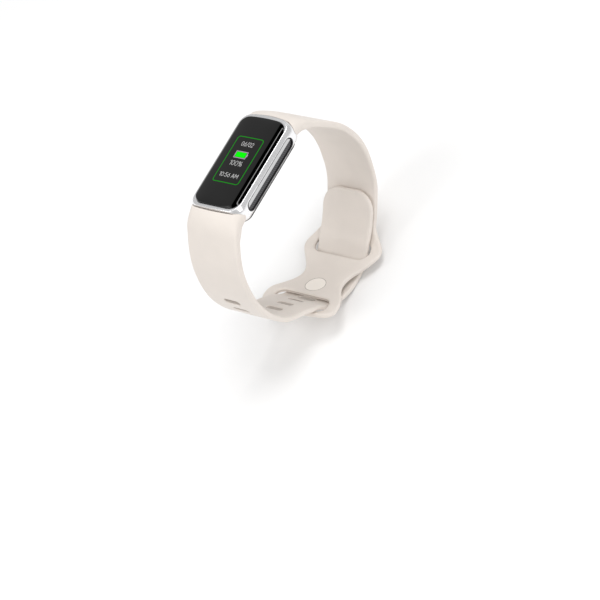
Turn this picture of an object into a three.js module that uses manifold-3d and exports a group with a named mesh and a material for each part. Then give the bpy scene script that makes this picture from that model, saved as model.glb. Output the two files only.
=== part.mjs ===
// Slim smartwatch: rounded metal case, curved cover glass, long side electrodes and a
// two-piece silicone band whose holed half weaves through a two-loop clasp.
// Millimetres. +Z out of the display, +Y towards the upper strap, origin on the flat back.
import * as THREE from 'three';
import { LoftGeometry } from 'three/addons/geometries/LoftGeometry.js';
import { mergeVertices } from 'three/addons/utils/BufferGeometryUtils.js';
import Module from 'manifold-3d';

const wasm = await Module();
wasm.setup();

// ---- driving dimensions -------------------------------------------------------------
const CASE_HALF = 11.4;
const BOW = 0.055;
const CASE_LEVELS = [
  { z: 2.9, hx: 10.1, hy: 17.3, r: 2.6 },
  { z: 3.6, hx: 10.9, hy: 17.9, r: 2.5 },
  { z: 4.6, hx: 11.3, hy: 18.25, r: 2.4 },
  { z: 6.2, hx: CASE_HALF, hy: 18.4, r: 2.4 },
  { z: 7.6, hx: 11.3, hy: 18.45, r: 2.5 },
  { z: 8.7, hx: 10.9, hy: 18.45, r: 2.7 },
  { z: 9.6, hx: 10.35, hy: 18.4, r: 3.2 },
  { z: 10.7, hx: 9.95, hy: 18.2, r: 4.1 },
];
const RIM_TOP = 10.5;
const RIM_DROP = 0.6;
const GLASS = { hx: 9.75, hy: 17.1, r: 4.0, z0: 9.75, top: 11.2, side: 10.2, end: 10.7 };
const CAVITY = { hx: 9.1, hy: 13.4, r: 2.0 };
const SHELF = { hx: 9.1, hy: 16.2, z: 8.7 };
const COVER = { z0: 1.4, z1: 2.6 };
const WINDOW = { hx: 5.5, hy: 6.5 };
const ELECTRODE = { half: 14.45, high: 4.0, z: 6.2, crease: 6.6, x0: 10.5, x1: 11.05 };
const TONGUE = { hx: 6.8, y0: 14.6, y1: 20.3, z0: 5.4, z1: 6.6 };
const ARM = { hx: 2.9, y0: 15.6, y1: 21.8, z0: 3.9, z1: 4.5 };
const HOOK_DEPTH = 0.7;
const PAD = { hx: 2.5, y0: 20.4, z0: 2.0 };
const FIT = 0.3;
const SPRING = { y: 17.9, r: 0.85, wire: 0.15, z0: 4.52, z1: 6.28, turns: 3 };
const MOTOR = { y: 10.6, z: 4.85, r: 1.5 };
const BAND_HALF = 11;
const LOOP_HALF = 16.3;
const WAIST_HALF = 9.4;
const SLOT = { wide: 24, long: 7 };
const END_BAR = 3;
const CROWN = 1.5;
const WEAVE = 1.1;
const SWELL = 0.9;
const THIN = 1.75;
const HOLE = { wide: 7, long: 2.4, pitch: 5.8, count: 9 };
const TAIL_LENGTH = 18;
const PEG = { disc: 3.8, neck: [6.2, 1.7], head: [7.6, 3.0] };

// Middle line of the closed band seen from the side, from the case's upper end round the
// wrist to its lower end.
const BAND_LINE = [
  [16.8, 6.3], [19.3, 5.7], [21.6, 4.35], [27.4, -2.4], [34.2, -13.3], [36.7, -25.7], [34.0, -37.0],
  [25.8, -47.6], [14.5, -56.2], [1.5, -57.8], [-12.2, -53.2], [-22.0, -45.6],
  [-30.4, -35.8], [-34.1, -22.5], [-31.6, -8.0], [-25.4, 1.8], [-21.8, 4.85],
  [-19.3, 5.9], [-16.8, 6.3],
];

// ---- materials ----------------------------------------------------------------------
const finish = (color, roughness, metalness) =>
  new THREE.MeshStandardMaterial({ color, roughness, metalness });
const SILVER = finish(0xd6d6d8, 0.25, 1);
const STEEL = finish(0xb8babd, 0.3, 1);
const BLACK_GLASS = finish(0x0c0c0e, 0.05, 0);
const BLACK_PLASTIC = finish(0x18181a, 0.45, 0);
const DARK_RUBBER = finish(0x222224, 0.8, 0);
const SILICONE = finish(0xe8ded5, 0.6, 0);
const PALE_SILICONE = finish(0xf0e9e0, 0.55, 0);
const BOARD_GREEN = finish(0x1f5a3a, 0.5, 0);
const POLYIMIDE = finish(0xb46a1c, 0.4, 0);
const FOIL = finish(0xa9acb0, 0.35, 1);
const GOLD = finish(0xd9b45a, 0.25, 1);
const LED_LENS = finish(0xd8e8c8, 0.2, 0);
const SENSOR_DIE = finish(0x2a2440, 0.2, 0);

// ---- shape helpers ------------------------------------------------------------------
function solidOf(geometry) {
  const bare = new THREE.BufferGeometry();
  bare.setAttribute('position', geometry.getAttribute('position'));
  bare.setIndex(geometry.getIndex());
  const merged = mergeVertices(bare, 1e-4);
  return new wasm.Manifold(new wasm.Mesh({
    numProp: 3,
    vertProperties: new Float32Array(merged.attributes.position.array),
    triVerts: new Uint32Array(merged.index.array),
  }));
}

function geometryOf(solid) {
  const mesh = solid.getMesh();
  const geometry = new THREE.BufferGeometry();
  geometry.setAttribute('position', new THREE.BufferAttribute(mesh.vertProperties, 3));
  geometry.setIndex(new THREE.BufferAttribute(mesh.triVerts, 1));
  geometry.computeVertexNormals();
  return geometry;
}

function roundedRing(hx, hy, r, steps = 5) {
  const corners = [[hx - r, hy - r, 0], [r - hx, hy - r, 1], [r - hx, r - hy, 2],
    [hx - r, r - hy, 3]];
  const ring = [];
  for (const [cx, cy, quarter] of corners) {
    for (let i = 0; i <= steps; i += 1) {
      const angle = (quarter + i / steps) * Math.PI / 2;
      ring.push([cx + r * Math.cos(angle), cy + r * Math.sin(angle)]);
    }
  }
  return ring;
}

// A rounded ring whose two ends bow outwards, most at X = 0.
function bowedRing(hx, hy, r) {
  const ring = roundedRing(hx, hy, r);
  const end = Array.from({ length: 7 }, (_, i) => (hx - r) * (3 - i) / 4);
  const full = [...ring.slice(0, 6), ...end.map((x) => [x, hy]), ...ring.slice(6, 18),
    ...end.map((x) => [-x, -hy]), ...ring.slice(18)];
  return full.map(([x, y]) => [x, y * (1 + BOW * (1 - (x / CASE_HALF) ** 2))]);
}

function shapeOf(points) {
  return new THREE.Shape(points.map(([a, b]) => new THREE.Vector2(a, b)));
}

function prism(points, z0, z1) {
  const geometry = new THREE.ExtrudeGeometry(shapeOf(points),
    { depth: z1 - z0, bevelEnabled: false, steps: 1 });
  return geometry.translate(0, 0, z0);
}

function plate(hx, hy, r, z0, z1, cx = 0, cy = 0) {
  return solidOf(prism(roundedRing(hx, hy, r), z0, z1).translate(cx, cy, 0));
}

function block(x0, x1, y0, y1, z0, z1) {
  const geometry = new THREE.BoxGeometry(x1 - x0, y1 - y0, z1 - z0);
  return solidOf(geometry.translate((x0 + x1) / 2, (y0 + y1) / 2, (z0 + z1) / 2));
}

function postZ(r, x, y, z0, z1, sides = 24) {
  const geometry = new THREE.CylinderGeometry(r, r, z1 - z0, sides);
  return solidOf(geometry.rotateX(Math.PI / 2).translate(x, y, (z0 + z1) / 2));
}

function rodX(r, x0, x1, y, z, sides = 24) {
  const geometry = new THREE.CylinderGeometry(r, r, x1 - x0, sides);
  return solidOf(geometry.rotateZ(Math.PI / 2).translate((x0 + x1) / 2, y, z));
}

function bowedPlate(hx, hy, r, z0, z1) {
  return solidOf(prism(bowedRing(hx, hy, r), z0, z1));
}

function levelLoft(levels, grow = 0, ringOf = bowedRing) {
  const sections = levels.map(({ z, hx, hy, r }) =>
    ringOf(hx + grow, hy + grow, r + grow).map(([x, y]) => new THREE.Vector3(x, y, z)));
  return solidOf(new LoftGeometry(sections, { capStart: true, capEnd: true }));
}

// Profile in X-Z pushed along Y, and profile in Y-Z pushed along X.
function alongY(points, half) {
  const geometry = prism(points, -half, half);
  return solidOf(geometry.rotateX(Math.PI / 2));
}

function alongX(points, x0, x1) {
  const geometry = prism(points, x0, x1);
  const turn = new THREE.Matrix4().set(0, 0, 1, 0, 1, 0, 0, 0, 0, 1, 0, 0, 0, 0, 0, 1);
  return solidOf(geometry.applyMatrix4(turn));
}

const group = new THREE.Group();
group.name = 'smartwatch';

function add(name, solid, material) {
  const mesh = new THREE.Mesh(geometryOf(solid), material);
  mesh.name = name;
  group.add(mesh);
}

const mirrorY = (solid, side) => (side > 0 ? solid : solid.mirror([0, 1, 0]));
const mirrorX = (solid, side) => (side > 0 ? solid : solid.mirror([1, 0, 0]));

function smooth(t) {
  const k = Math.min(1, Math.max(0, t));
  return k * k * (3 - 2 * k);
}

// ---- band line and its frame --------------------------------------------------------
const bandCurve = new THREE.CatmullRomCurve3(
  BAND_LINE.map(([y, z]) => new THREE.Vector3(0, y, z)), false, 'centripetal');
bandCurve.arcLengthDivisions = 2000;
const BAND_LENGTH = bandCurve.getLength();

function arcAt(y, z) {
  let best = 0;
  let least = Infinity;
  for (let i = 0; i <= 4000; i += 1) {
    const at = bandCurve.getPointAt(i / 4000);
    const gap = Math.hypot(at.y - y, at.z - z);
    if (gap < least) {
      least = gap;
      best = i / 4000 * BAND_LENGTH;
    }
  }
  return best;
}

// The section's outward direction turns from straight up at the case ends to square to
// the band line further out.
function frameAt(s) {
  const u = Math.min(1, Math.max(0, s / BAND_LENGTH));
  const at = bandCurve.getPointAt(u);
  const along = bandCurve.getTangentAt(u);
  const out = new THREE.Vector3(0, -along.z, along.y);
  const near = Math.min(s, BAND_LENGTH - s);
  const lean = smooth(near / 9);
  const up = new THREE.Vector3(0, 0, 1);
  return { at, along, out: up.lerp(out, lean).normalize() };
}

const BRIDGE_TOP = arcAt(8.6, -57.2);
const BRIDGE_LOW = arcAt(-11.4, -53.0);
const SLOT_TOP = BRIDGE_TOP - SLOT.long / 2;
const SLOT_LOW = BRIDGE_LOW + SLOT.long / 2;
const CLASP_END = SLOT_LOW + SLOT.long / 2 + END_BAR;
const PEG_AT = arcAt(-6.3, -55.4);
const TAIL_ROOT = BRIDGE_TOP - SLOT.long - 0.5;
const TAIL_END = TAIL_ROOT - TAIL_LENGTH;

// Offset of the looped half from the band line; the holed half takes the opposite one.
function weaveAt(s) {
  const step = 8;
  const inTop = smooth((s - SLOT_TOP) / step + 0.5);
  const inLow = smooth((s - SLOT_LOW) / step + 0.5);
  const fadeUpper = smooth((s - TAIL_END + 12) / 12);
  const fadeLower = smooth((CLASP_END + 14 - s) / 12);
  return WEAVE * (1 - 2 * inTop + 2 * inLow) * fadeUpper * fadeLower;
}

// The holed half stands off the bridge between the two loops.
function swellAt(s) {
  const share = Math.min(1, Math.max(0, (s - SLOT_TOP) / (SLOT_LOW - SLOT_TOP)));
  return SWELL * Math.sin(Math.PI * share) ** 2;
}

function thickAt(s) {
  const near = Math.min(s, BAND_LENGTH - s);
  const root = 5.0 - 2.7 * smooth((near - 2.5) / 8) ** 0.8;
  return root - (2.3 - THIN) * smooth((near - 30) / 25);
}

// The outer face rises towards its middle near the case.
function crownAt(x, s) {
  const near = Math.min(s, BAND_LENGTH - s);
  const arch = Math.max(0, 1 - (x / BAND_HALF) ** 2);
  return CROWN * arch * (1 - smooth((near - 2.5) / 15));
}

function plainHalf(s) {
  const near = Math.min(s, BAND_LENGTH - s);
  return BAND_HALF + 0.25 * (1 - smooth(near / 4));
}

function loopHalf(s) {
  const gap = SLOT_LOW - SLOT_TOP;
  if (s < SLOT_TOP - 10) {
    return plainHalf(s);
  }
  if (s < SLOT_TOP) {
    return BAND_HALF + (LOOP_HALF - BAND_HALF) * smooth((s - SLOT_TOP + 10) / 10);
  }
  if (s < SLOT_LOW) {
    const swing = 0.5 + 0.5 * Math.cos((s - SLOT_TOP) / gap * 2 * Math.PI);
    return WAIST_HALF + (LOOP_HALF - WAIST_HALF) * swing;
  }
  const reach = Math.min(1, (s - SLOT_LOW) / (CLASP_END - SLOT_LOW));
  return Math.max(0.6, LOOP_HALF * (1 - reach ** 2.4) ** (1 / 2.4));
}

function tailHalf(s) {
  const corner = 7.5;
  const reach = Math.max(0, (TAIL_END + corner - s) / corner);
  return BAND_HALF - corner * (1 - Math.sqrt(Math.max(0, 1 - reach ** 2)));
}

function bandSection(s, half, thick, offset) {
  const { at, out } = frameAt(s);
  const near = Math.min(s, BAND_LENGTH - s);
  const soft = 0.9 + 1.2 * (1 - smooth((near - 3) / 9));
  const r = Math.min(thick * 0.44, half * 0.9, soft);
  const ring = roundedRing(half, thick / 2, r, 3);
  const face = Array.from({ length: 9 }, (_, i) => [(half - r) * (4 - i) / 5, thick / 2]);
  ring.splice(4, 0, ...face);
  return ring.reverse().map(([x, n]) => {
    const rise = crownAt(x, s) * Math.max(0, 2 * n / thick);
    return new THREE.Vector3(x, 0, 0).add(at).addScaledVector(out, n + offset + rise);
  });
}

function bandLoft(stations, halfAt, offsetAt) {
  const sections = stations.map((s) =>
    bandSection(s, halfAt(s), thickAt(s), offsetAt(s)));
  return solidOf(new LoftGeometry(sections, { capStart: true, capEnd: true }));
}

function stations(from, to, pitch) {
  const count = Math.max(1, Math.ceil((to - from) / pitch));
  return Array.from({ length: count + 1 }, (_, i) => from + (to - from) * i / count);
}

// A straight cutter or post that stands square on the band at s: across X, along the
// band, from n0 to n1 outwards.
function standing(ring, s, n0, n1) {
  const { at, along, out } = frameAt(s);
  const across = new THREE.Vector3().crossVectors(along, out);
  const turn = new THREE.Matrix4().makeBasis(across, along, out).setPosition(at);
  return solidOf(prism(ring, n0, n1).applyMatrix4(turn));
}

const pill = (wide, long, steps = 5) =>
  roundedRing(wide / 2, long / 2, Math.min(wide, long) / 2 - 0.01, steps);

// ---- case ---------------------------------------------------------------------------
function archProfile(hx, top, drop, low) {
  const points = [[-hx, low], [hx, low]];
  for (let i = 0; i <= 20; i += 1) {
    const x = hx - 2 * hx * i / 20;
    points.push([x, top - drop * (x / 9.75) ** 2]);
  }
  return points;
}

function connectorPocket() {
  const tongue = block(-TONGUE.hx - FIT, TONGUE.hx + FIT, TONGUE.y0 - FIT, 25,
    TONGUE.z0 - FIT, TONGUE.z1 + FIT);
  const arm = block(-ARM.hx - FIT, ARM.hx + FIT, ARM.y0 - FIT, 25, ARM.z0 - 0.2,
    TONGUE.z0);
  const hook = block(-ARM.hx - FIT, ARM.hx + FIT, ARM.y0 - FIT, ARM.y0 + 1.1,
    ARM.z0 - HOOK_DEPTH - 0.2, ARM.z0);
  return tongue.add(arm).add(hook);
}

function caseFrame() {
  const profile = archProfile(12, RIM_TOP, RIM_DROP, 2);
  let body = levelLoft(CASE_LEVELS).intersect(alongY(profile, 20));
  body = body.subtract(plate(CAVITY.hx, CAVITY.hy, CAVITY.r, 2, 12));
  body = body.subtract(bowedPlate(SHELF.hx, SHELF.hy, 3.2, SHELF.z, 12));
  body = body.subtract(bowedPlate(GLASS.hx + 0.1, GLASS.hy + 0.1, GLASS.r + 0.1, 9.6, 12));
  for (const side of [1, -1]) {
    body = body.subtract(mirrorY(connectorPocket(), side));
    const slot = pill(2 * ELECTRODE.half + 0.4, ELECTRODE.high + 0.4, 6);
    const cutter = alongX(slot.map(([y, z]) => [y, z + ELECTRODE.z]), 10.2, 13);
    body = body.subtract(mirrorX(cutter, side));
  }
  return body;
}

function coverGlass() {
  const { hx, hy, r, z0, top, side, end } = GLASS;
  const tip = hy * (1 + BOW);
  const across = [[-hx - 1, z0 - 1], [hx + 1, z0 - 1]];
  const lengthwise = [[-tip - 1, z0 - 1], [tip + 1, z0 - 1]];
  for (let i = 0; i <= 28; i += 1) {
    const t = Math.cos(Math.PI * i / 28);
    const fall = 1 - Math.sqrt(Math.max(0, 1 - Math.abs(t) ** 2.4));
    across.push([t * (hx + 0.02), side + (top - side) * (1 - fall)]);
    const edge = 1 - Math.sqrt(Math.max(0, 1 - Math.abs(t) ** 9));
    lengthwise.push([t * (tip + 0.02), end + (top + 0.02 - end) * (1 - edge)]);
  }
  return bowedPlate(hx, hy, r, z0, 12).intersect(alongY(across, 20))
    .intersect(alongX(lengthwise, -12, 12));
}

add('case_frame', caseFrame(), SILVER);
add('cover_glass', coverGlass(), BLACK_GLASS);
add('display_gasket', bowedPlate(9.6, 16.95, 3.85, 9.6, 9.75)
  .subtract(bowedPlate(8.7, 15.8, 3, 9, 10)), DARK_RUBBER);
add('display_panel', plate(7.9, 14.2, 1.6, 8.85, 9.55), BLACK_GLASS);

const flexLine = new THREE.CatmullRomCurve3([[-9.8, 8.6], [-11.6, 8.6], [-12.7, 8.1],
  [-11.6, 7.62], [-9.8, 7.62]].map(([y, z]) => new THREE.Vector3(0, y, z)));
const flexRibbon = new LoftGeometry(Array.from({ length: 17 }, (_, i) => {
  const at = flexLine.getPointAt(i / 16);
  const along = flexLine.getTangentAt(i / 16);
  const out = new THREE.Vector3(0, -along.z, along.y);
  return [[-3, -0.08], [-3, 0.08], [3, 0.08], [3, -0.08]].map(([x, n]) =>
    new THREE.Vector3(x, 0, 0).add(at).addScaledVector(out, n));
}), { capStart: true, capEnd: true });
add('display_flex', solidOf(flexRibbon), POLYIMIDE);
add('light_sensor', block(-0.9, 0.9, 14.6, 15.6, 8.85, 9.5), SENSOR_DIE);

add('main_board', plate(8.6, 13.0, 1.2, 6.6, 7.4)
  .subtract(postZ(0.7, 7.2, 11.6, 6, 8)).subtract(postZ(0.7, -7.2, 11.6, 6, 8)), BOARD_GREEN);
add('shield_can', plate(6.6, 8.0, 0.5, 7.42, 8.4, 0, 1.2)
  .subtract(plate(6.4, 7.8, 0.3, 7, 8.2, 0, 1.2)), STEEL);
add('battery', plate(7.2, 9.6, 0.8, 3.35, 6.2, 0, -2.4), FOIL);

// ---- vibration motor ----------------------------------------------------------------
const motorBore = rodX(0.42, -1, 1.5, MOTOR.y, MOTOR.z, 20);
add('motor_can', rodX(MOTOR.r, -6, 1, MOTOR.y, MOTOR.z).subtract(motorBore), STEEL);
add('motor_sleeve', block(-5, -1.6, 8.75, 12.45, 3.1, 6.5)
  .subtract(rodX(MOTOR.r + 0.03, -8, 2, MOTOR.y, MOTOR.z)), DARK_RUBBER);
const halfRound = rodX(1.45, 1.9, 5, MOTOR.y, MOTOR.z)
  .subtract(block(1, 6, 8, 13, MOTOR.z + 0.35, 8));
add('motor_weight', halfRound.add(rodX(0.6, 1.9, 5, MOTOR.y, MOTOR.z, 20))
  .add(rodX(0.35, -0.8, 2.1, MOTOR.y, MOTOR.z, 20)), STEEL);

// ---- back -----------------------------------------------------------------------------
const backLevels = [
  { z: COVER.z0, hx: 8.9, hy: 15.9, r: 3.6 },
  { z: 1.7, hx: 9.4, hy: 16.4, r: 3.2 },
  { z: COVER.z1, hx: 10.0, hy: 17.0, r: 2.6 },
];
const contacts = [-1, 1].map((side) => [side * 2.6, -11.2]);
let backCover = levelLoft(backLevels)
  .subtract(plate(WINDOW.hx + 1.7, WINDOW.hy + 1.7, 2.8, 0, 4));
for (const [x, y] of contacts) {
  backCover = backCover.subtract(postZ(1.3, x, y, 0, 4));
}
add('back_cover', backCover, BLACK_PLASTIC);
add('back_gasket', bowedPlate(9.9, 17.0, 2.5, 2.6, 2.9)
  .subtract(plate(9.2, 13.6, 2.2, 2, 4)), DARK_RUBBER);
const windowLevels = [
  { z: 0, hx: WINDOW.hx, hy: WINDOW.hy, r: 2.0 },
  { z: 0.3, hx: WINDOW.hx + 0.7, hy: WINDOW.hy + 0.7, r: 2.3 },
  { z: 1.3, hx: WINDOW.hx + 1.5, hy: WINDOW.hy + 1.5, r: 2.7 },
  { z: 2.4, hx: WINDOW.hx + 1.5, hy: WINDOW.hy + 1.5, r: 2.7 },
];
add('sensor_window', levelLoft(windowLevels, 0, roundedRing)
  .subtract(plate(4.9, 5.9, 1.2, 0.8, 3)), BLACK_GLASS);
add('sensor_board', plate(6.6, 7.6, 1.4, 2.45, 2.95), BOARD_GREEN);
const dies = [
  ['led_green_1', -1.6, 0, 0.8, LED_LENS], ['led_green_2', 1.6, 0, 0.8, LED_LENS],
  ['led_red', 0, 0, 0.6, LED_LENS], ['photodiode_1', 0, 3.6, 1.2, SENSOR_DIE],
  ['photodiode_2', 0, -3.6, 1.2, SENSOR_DIE],
];
for (const [name, x, y, half, material] of dies) {
  add(name, block(x - half, x + half, y - half, y + half, 1.7, 2.45), material);
}
contacts.forEach(([x, y], i) => {
  add(`charge_contact_${i + 1}`, postZ(1.15, x, y, 1.3, 2.2)
    .add(postZ(0.6, x, y, 2.2, 2.9)), GOLD);
});
[-1, 1].forEach((side, i) => {
  add(`charge_magnet_${i + 1}`, block(side * 6.6 - 1.3, side * 6.6 + 1.3, -13.2, -9.2,
    2.95, 3.3), STEEL);
});

// ---- side electrodes ------------------------------------------------------------------
const electrodeOutline = pill(2 * ELECTRODE.half, ELECTRODE.high, 6)
  .map(([y, z]) => [y, z + ELECTRODE.z]);
const creased = [[ELECTRODE.x0 - 1, 2], [ELECTRODE.x1 - 0.25, 2],
  [ELECTRODE.x1 - 0.2, ELECTRODE.z - ELECTRODE.high / 2], [ELECTRODE.x1, ELECTRODE.crease],
  [ELECTRODE.x1 - 0.3, ELECTRODE.z + ELECTRODE.high / 2], [ELECTRODE.x0 - 1, 10]];
const electrode = alongX(electrodeOutline, ELECTRODE.x0, ELECTRODE.x1 + 1)
  .intersect(alongY(creased, 20));
const seal = alongX(electrodeOutline, 10.25, 10.5)
  .subtract(alongX(pill(2 * ELECTRODE.half - 1, ELECTRODE.high - 1, 6)
    .map(([y, z]) => [y, z + ELECTRODE.z]), 10, 11));
for (const [name, side] of [['right', 1], ['left', -1]]) {
  add(`electrode_${name}`, mirrorX(electrode, side), SILVER);
  add(`electrode_seal_${name}`, mirrorX(seal, side), DARK_RUBBER);
}

// ---- band -----------------------------------------------------------------------------
const caseClearance = levelLoft(CASE_LEVELS, 0.2)
  .add(block(-7, 7, -17, 17, 0, 9));

function rootSocket() {
  const tongue = block(-TONGUE.hx - FIT, TONGUE.hx + FIT, 10, TONGUE.y1 + FIT,
    TONGUE.z0 - FIT, TONGUE.z1 + FIT);
  const arm = block(-ARM.hx - FIT, ARM.hx + FIT, 10, ARM.y1 + FIT, ARM.z0 - FIT,
    TONGUE.z0);
  const pad = block(-PAD.hx - FIT, PAD.hx + FIT, PAD.y0 - FIT, ARM.y1 + FIT, 0, 4);
  return tongue.add(arm).add(pad);
}

const upperStations = [...stations(0, 9, 1.2), ...stations(9, SLOT_TOP - 12, 3.2).slice(1),
  ...stations(SLOT_TOP - 12, SLOT_LOW, 1.5).slice(1),
  ...stations(SLOT_LOW, CLASP_END - 1.2, 0.9).slice(1),
  CLASP_END - 0.7, CLASP_END - 0.3, CLASP_END - 0.05];
let upperStrap = bandLoft(upperStations, loopHalf, weaveAt)
  .subtract(caseClearance).subtract(rootSocket());
for (const s of [SLOT_TOP, SLOT_LOW]) {
  const slotRing = roundedRing(SLOT.wide / 2, SLOT.long / 2, SLOT.long / 2 - 0.05, 7);
  upperStrap = upperStrap.subtract(standing(slotRing, s, -6, 6));
}
const discRing = pill(2 * PEG.disc + 0.4, 2 * PEG.disc + 0.4, 7);
const neckGap = pill(PEG.neck[0] + 0.5, PEG.neck[1] + 0.5);
upperStrap = upperStrap
  .subtract(standing(discRing, PEG_AT, -4, -WEAVE - THIN / 2 + 0.8))
  .subtract(standing(neckGap, PEG_AT, -4, 1.5 - WEAVE));
add('upper_strap', upperStrap, SILICONE);

const lowerOffset = (s) => swellAt(s) - weaveAt(s);
const lowerFrom = TAIL_ROOT + 0.2;
const lowerStations = [...stations(lowerFrom, CLASP_END + 12, 1.5),
  ...stations(CLASP_END + 12, BAND_LENGTH - 9, 3.2).slice(1),
  ...stations(BAND_LENGTH - 9, BAND_LENGTH, 1.2).slice(1)];
let lowerStrap = bandLoft(lowerStations, plainHalf, lowerOffset)
  .subtract(caseClearance).subtract(rootSocket().mirror([0, 1, 0]));
for (let k = 0; k < HOLE.count; k += 1) {
  lowerStrap = lowerStrap.subtract(
    standing(pill(HOLE.wide, HOLE.long), PEG_AT + k * HOLE.pitch, -6, 6));
}
add('lower_strap', lowerStrap, SILICONE);

const tailStations = [TAIL_END + 0.02, TAIL_END + 0.25, TAIL_END + 0.7, TAIL_END + 1.4,
  ...stations(TAIL_END + 2.4, TAIL_END + 7.5, 1.2), ...stations(TAIL_END + 7.5,
    TAIL_ROOT - 0.2, 2.4).slice(1)];
add('strap_tail', bandLoft(tailStations, tailHalf, lowerOffset), SILICONE);

// ---- peg ------------------------------------------------------------------------------
const bridgeFace = -WEAVE - THIN / 2;
const pegRise = swellAt(PEG_AT);
const peg = standing(pill(2 * PEG.disc, 2 * PEG.disc, 7), PEG_AT, bridgeFace, bridgeFace + 0.6)
  .add(standing(pill(...PEG.neck), PEG_AT, bridgeFace + 0.3, 2.4 + pegRise))
  .add(standing(pill(...PEG.head), PEG_AT, 2.25 + pegRise, 3.1 + pegRise));
add('peg', peg, PALE_SILICONE);

// ---- quick-release connectors ---------------------------------------------------------
class Helix extends THREE.Curve {
  getPoint(t, target = new THREE.Vector3()) {
    const angle = t * SPRING.turns * 2 * Math.PI;
    const low = SPRING.z0 + SPRING.wire;
    const high = SPRING.z1 - SPRING.wire;
    return target.set(SPRING.r * Math.cos(angle), SPRING.y + SPRING.r * Math.sin(angle),
      low + (high - low) * t);
  }
}
const wireSection = shapeOf(Array.from({ length: 8 }, (_, i) => [
  SPRING.wire * 0.97 * Math.cos(i * Math.PI / 4), SPRING.wire * 0.97 * Math.sin(i * Math.PI / 4)]));
const coil = solidOf(new THREE.ExtrudeGeometry(wireSection,
  { steps: 16 * SPRING.turns, extrudePath: new Helix(), bevelEnabled: false }));
const tongueBody = block(-TONGUE.hx, TONGUE.hx, TONGUE.y0, TONGUE.y1, TONGUE.z0, TONGUE.z1)
  .subtract(postZ(SPRING.r + SPRING.wire + 0.25, 0, SPRING.y, TONGUE.z0 - 1, SPRING.z1));
const latch = block(-ARM.hx, ARM.hx, ARM.y0, ARM.y1, ARM.z0, ARM.z1)
  .add(block(-ARM.hx, ARM.hx, ARM.y0, ARM.y0 + 0.7, ARM.z0 - HOOK_DEPTH, ARM.z1))
  .add(block(-PAD.hx, PAD.hx, PAD.y0, ARM.y1, PAD.z0, ARM.z1));
for (const [name, side] of [['upper', 1], ['lower', -1]]) {
  add(`${name}_connector`, mirrorY(tongueBody, side), BLACK_PLASTIC);
  add(`${name}_latch`, mirrorY(latch, side), STEEL);
  add(`${name}_latch_spring`, mirrorY(coil, side), STEEL);
}

export default group;
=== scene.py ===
"""Looks for the smartwatch: fine silicone band, metal case, curved glass and lit display."""
import math

import bpy
import bmesh
import numpy as np
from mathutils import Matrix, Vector
from mathutils import geometry as flat


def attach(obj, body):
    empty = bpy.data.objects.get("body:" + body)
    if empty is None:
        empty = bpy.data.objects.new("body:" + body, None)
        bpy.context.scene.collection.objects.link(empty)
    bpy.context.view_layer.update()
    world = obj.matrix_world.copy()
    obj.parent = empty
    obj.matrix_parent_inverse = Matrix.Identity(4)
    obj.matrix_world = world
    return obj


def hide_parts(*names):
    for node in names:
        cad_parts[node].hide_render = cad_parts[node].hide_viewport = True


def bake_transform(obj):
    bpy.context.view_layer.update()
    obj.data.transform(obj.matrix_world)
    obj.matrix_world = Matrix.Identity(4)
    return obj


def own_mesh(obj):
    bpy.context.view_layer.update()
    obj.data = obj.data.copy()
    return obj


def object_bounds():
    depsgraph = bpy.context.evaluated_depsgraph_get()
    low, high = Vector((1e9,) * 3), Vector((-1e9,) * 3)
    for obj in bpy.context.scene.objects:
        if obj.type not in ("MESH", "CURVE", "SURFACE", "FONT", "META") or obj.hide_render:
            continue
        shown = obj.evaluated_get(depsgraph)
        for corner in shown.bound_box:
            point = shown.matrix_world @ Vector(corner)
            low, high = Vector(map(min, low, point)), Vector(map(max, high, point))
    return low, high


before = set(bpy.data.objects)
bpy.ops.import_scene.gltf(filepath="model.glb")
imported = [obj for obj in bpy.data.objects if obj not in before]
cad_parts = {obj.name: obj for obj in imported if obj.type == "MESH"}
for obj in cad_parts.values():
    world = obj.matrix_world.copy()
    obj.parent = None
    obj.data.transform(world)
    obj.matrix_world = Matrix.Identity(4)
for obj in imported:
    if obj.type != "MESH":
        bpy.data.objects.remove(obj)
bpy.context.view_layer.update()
MM = 0.001

# ---- driving dimensions, in millimetres, as in the CAD --------------------------------
CASE_HALF = 11.4
CASE_LEVELS = [
    (2.9, 10.1, 17.3, 2.6), (3.6, 10.9, 17.9, 2.5), (4.6, 11.3, 18.25, 2.4),
    (6.2, CASE_HALF, 18.4, 2.4), (7.6, 11.3, 18.45, 2.5), (8.7, 10.9, 18.45, 2.7),
    (9.6, 10.35, 18.4, 3.2), (10.7, 9.95, 18.2, 4.1)]
BOW = 0.055
RIM_TOP, RIM_DROP = 10.5, 0.6
GLASS = dict(hx=9.75, hy=17.1, r=4.0, z0=9.75, top=11.2, side=10.2, end=10.7)
ELECTRODE = dict(half=14.45, high=4.0, z=6.2, crease=6.6, x0=10.5, x1=11.05)
BAND_HALF, LOOP_HALF, WAIST_HALF = 11.0, 16.3, 9.4
SLOT_WIDE, SLOT_LONG, END_BAR = 24.0, 7.0, 3.0
CROWN, WEAVE, SWELL, THIN = 1.5, 1.1, 0.9, 1.75
HOLE_WIDE, HOLE_LONG, HOLE_PITCH, HOLE_COUNT = 7.0, 2.4, 5.8, 9
TAIL_LENGTH, TAIL_CORNER = 18.0, 7.5
ROOT_GAP, ROOT_LEVEL = 0.13, 6.2
PEG_DISC, PEG_HEAD = 3.8, (7.6, 3.0)
BAND_LINE = [
    (16.8, 6.3), (19.3, 5.7), (21.6, 4.35), (27.4, -2.4), (34.2, -13.3), (36.7, -25.7),
    (34.0, -37.0), (25.8, -47.6), (14.5, -56.2), (1.5, -57.8), (-12.2, -53.2),
    (-22.0, -45.6), (-30.4, -35.8), (-34.1, -22.5), (-31.6, -8.0), (-25.4, 1.8),
    (-21.8, 4.85), (-19.3, 5.9), (-16.8, 6.3)]

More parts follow.
